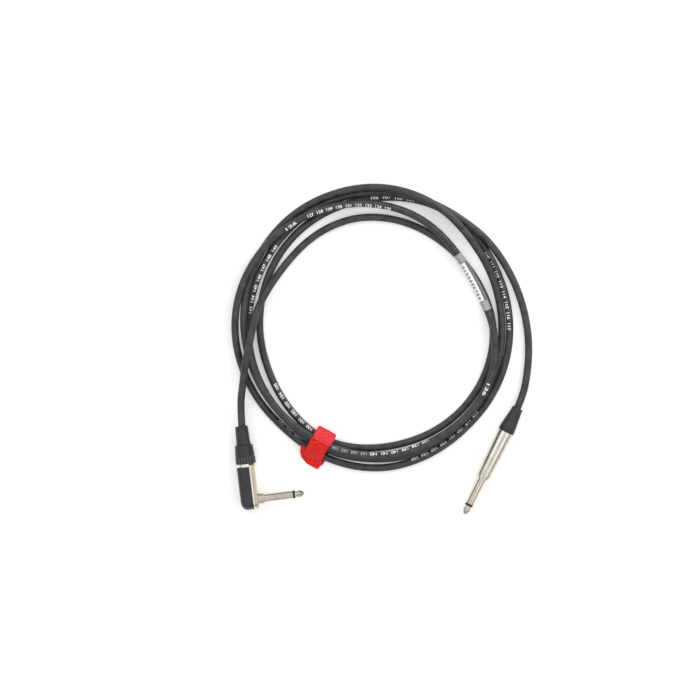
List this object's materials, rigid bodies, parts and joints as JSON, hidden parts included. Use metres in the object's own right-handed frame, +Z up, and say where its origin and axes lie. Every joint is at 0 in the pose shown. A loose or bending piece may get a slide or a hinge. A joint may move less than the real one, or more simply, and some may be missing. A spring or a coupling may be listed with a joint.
{
  "type": "instrument cable",
  "caption": "Black instrument cable, coiled and tied with a red hook-and-loop strap, with a straight plug at one end and a right-angle plug at the other.",
  "frame": {"origin": "bottom centre of the box round both plugs, the label and the strap, on the surface that the coil lies on", "axes": "+Z up, square to the coil; seen from above with +X to the right, the straight plug is at the lower right, its tip down, and the right-angle plug at the lower left, its pin along +X"},
  "size_m": [0.2378, 0.261, 0.0193],
  "materials": {
    "nickel": "satin nickel plating on brass",
    "ring_plastic": "black insulating ring, turned smooth",
    "clear_insulator": "milky insulating tube",
    "washer_plastic": "brown laminated washer",
    "tinned_brass": "tinned, slightly yellow at the cut edges",
    "core_plastic": "natural polyethylene",
    "copper": "bare stranded copper",
    "solder": "bright solder",
    "chuck_plastic": "grey moulded chuck",
    "boot_rubber": "black, faintly glossy",
    "cover_plastic": "black moulded cover",
    "nut_plastic": "black moulded nut",
    "jacket_rubber": "black jacket with small white print",
    "paper": "white paper",
    "clear_tube": "clear shrink tube",
    "strap_fabric": "red hook-and-loop tape"
  },
  "bodies": {
    "cable": {"cable_coil": "jacket_rubber", "cable_tail_angle": "jacket_rubber", "cable_tail_straight": "jacket_rubber", "straight_conductor": "copper", "straight_core": "core_plastic", "straight_ground_lug": "tinned_brass", "straight_ground_solder": "solder", "straight_liner": "clear_insulator", "straight_rod_tube": "clear_insulator", "straight_shell": "nickel", "straight_shield_tail": "copper", "straight_sleeve": "nickel", "straight_tip": "nickel", "straight_tip_ring": "ring_plastic", "straight_tip_solder": "solder", "straight_tip_terminal": "tinned_brass", "straight_washer": "washer_plastic", "angle_conductor": "copper", "angle_core": "core_plastic", "angle_cover": "cover_plastic", "angle_ground_lug": "tinned_brass", "angle_ground_solder": "solder", "angle_housing": "nickel", "angle_rod_tube": "clear_insulator", "angle_shield_tail": "copper", "angle_sleeve": "nickel", "angle_tip": "nickel", "angle_tip_ring": "ring_plastic", "angle_tip_solder": "solder", "angle_tip_terminal": "tinned_brass", "angle_washer": "washer_plastic", "label_paper": "paper", "label_sleeve": "clear_tube", "strap_band": "strap_fabric"},
    "straight_chuck": {"straight_chuck": "chuck_plastic"},
    "straight_gland": {"straight_boot": "boot_rubber"},
    "angle_chuck": {"angle_chuck": "chuck_plastic"},
    "angle_gland": {"angle_gland_nut": "nut_plastic", "angle_boot": "boot_rubber"},
    "strap_flap": {"strap_flap": "strap_fabric"}
  },
  "joints": [
    {"name": "straight_chuck_slide", "type": "slide", "parent": "cable", "child": "straight_chuck", "axis": [0.4493, 0.8934, 0], "range_m": [0, 0.0048]},
    {"name": "straight_gland_turn", "type": "hinge", "parent": "straight_chuck", "child": "straight_gland", "pos_m": [0.10004, -0.03786, 0.0065], "axis": [0.4493, 0.8934, 0], "range_deg": [0, 720]},
    {"name": "angle_chuck_slide", "type": "slide", "parent": "cable", "child": "angle_chuck", "axis": [-0.1219, 0.9925, 0], "range_m": [0, 0.0048]},
    {"name": "angle_gland_turn", "type": "hinge", "parent": "angle_chuck", "child": "angle_gland", "pos_m": [-0.10609, -0.04819, 0.00775], "axis": [-0.1219, 0.9925, 0], "range_deg": [0, 720]},
    {"name": "strap_flap_peel", "type": "hinge", "parent": "cable", "child": "strap_flap", "pos_m": [-0.04086, -0.03602, 0.0105], "axis": [-0.878, 0.4787, 0], "range_deg": [0, 120]}
  ],
  "couplings": [
    {"joint": "straight_chuck_slide", "follows": "straight_gland_turn", "m_per_rad": 0.00038197},
    {"joint": "angle_chuck_slide", "follows": "angle_gland_turn", "m_per_rad": 0.00038197}
  ]
}
